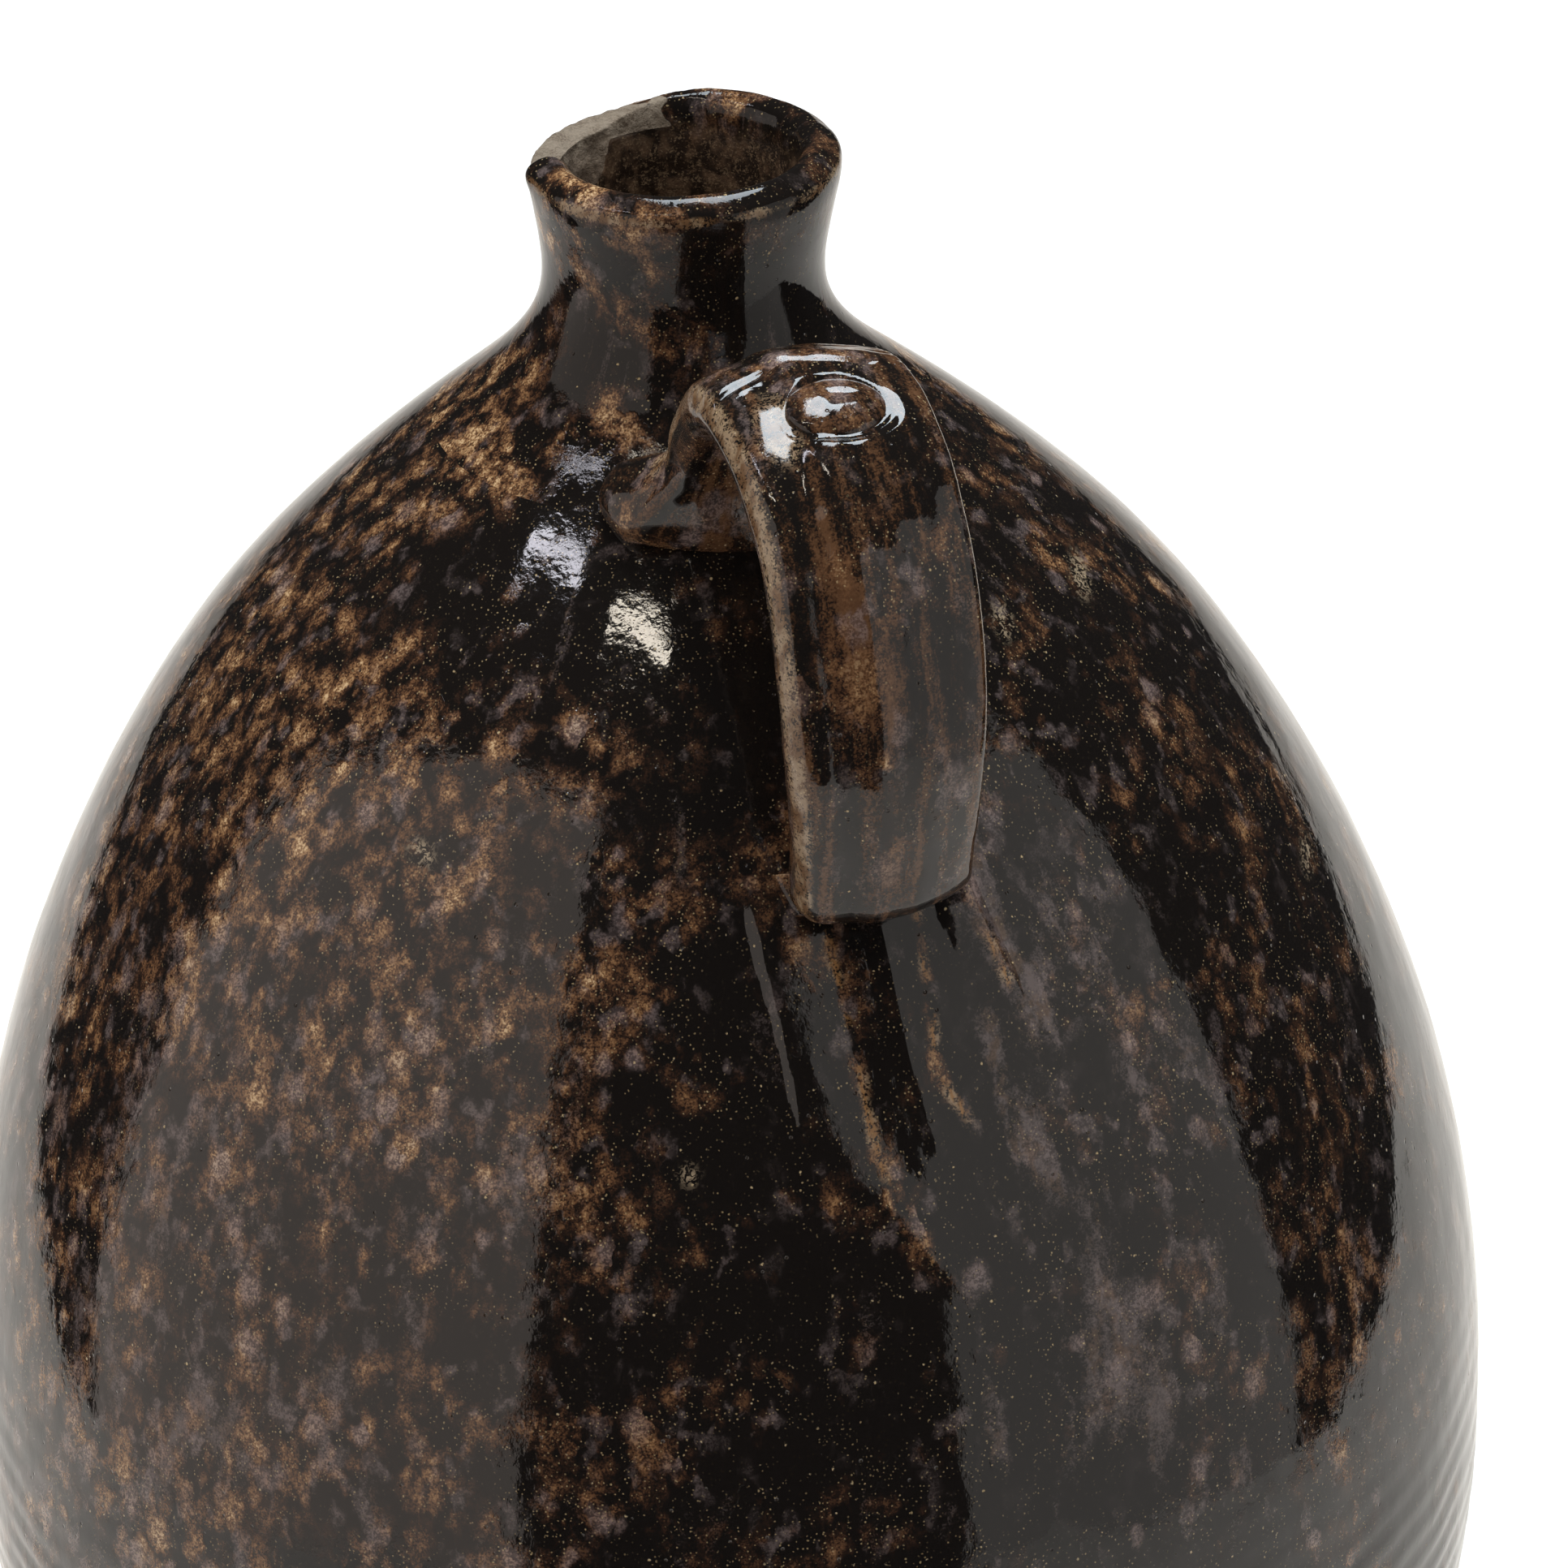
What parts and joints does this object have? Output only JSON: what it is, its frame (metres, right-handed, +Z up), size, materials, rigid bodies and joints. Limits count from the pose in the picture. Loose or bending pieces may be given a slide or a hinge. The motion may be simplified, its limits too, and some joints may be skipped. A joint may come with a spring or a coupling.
{
  "type": "sake bottle",
  "caption": "Large ovoid stoneware sake jug with a narrow flared neck, chipped lip and a strap handle on the shoulder.",
  "frame": {"origin": "centre of the foot, on the surface the jug stands on", "axes": "+Z up along the jug's axis, the strap handle stands towards -Y, the lip's broken place is towards -X +Y"},
  "size_m": [0.242, 0.242, 0.3425],
  "materials": {
    "body_glaze": "glossy mottled black-brown iron glaze",
    "neck_glaze": "glossy mottled black-brown iron glaze",
    "handle_glaze": "glossy amber-streaked iron glaze",
    "bare_clay": "matte unglazed grey-brown clay"
  },
  "bodies": {
    "root": {"base_disc": "bare_clay", "lower_wall": "body_glaze", "shoulder_dome": "body_glaze", "neck_collar": "neck_glaze", "lip_ring": "neck_glaze", "handle_strap": "handle_glaze", "handle_upper_root": "handle_glaze", "handle_lower_root": "handle_glaze", "thumb_pad": "handle_glaze"}
  },
  "joints": []
}
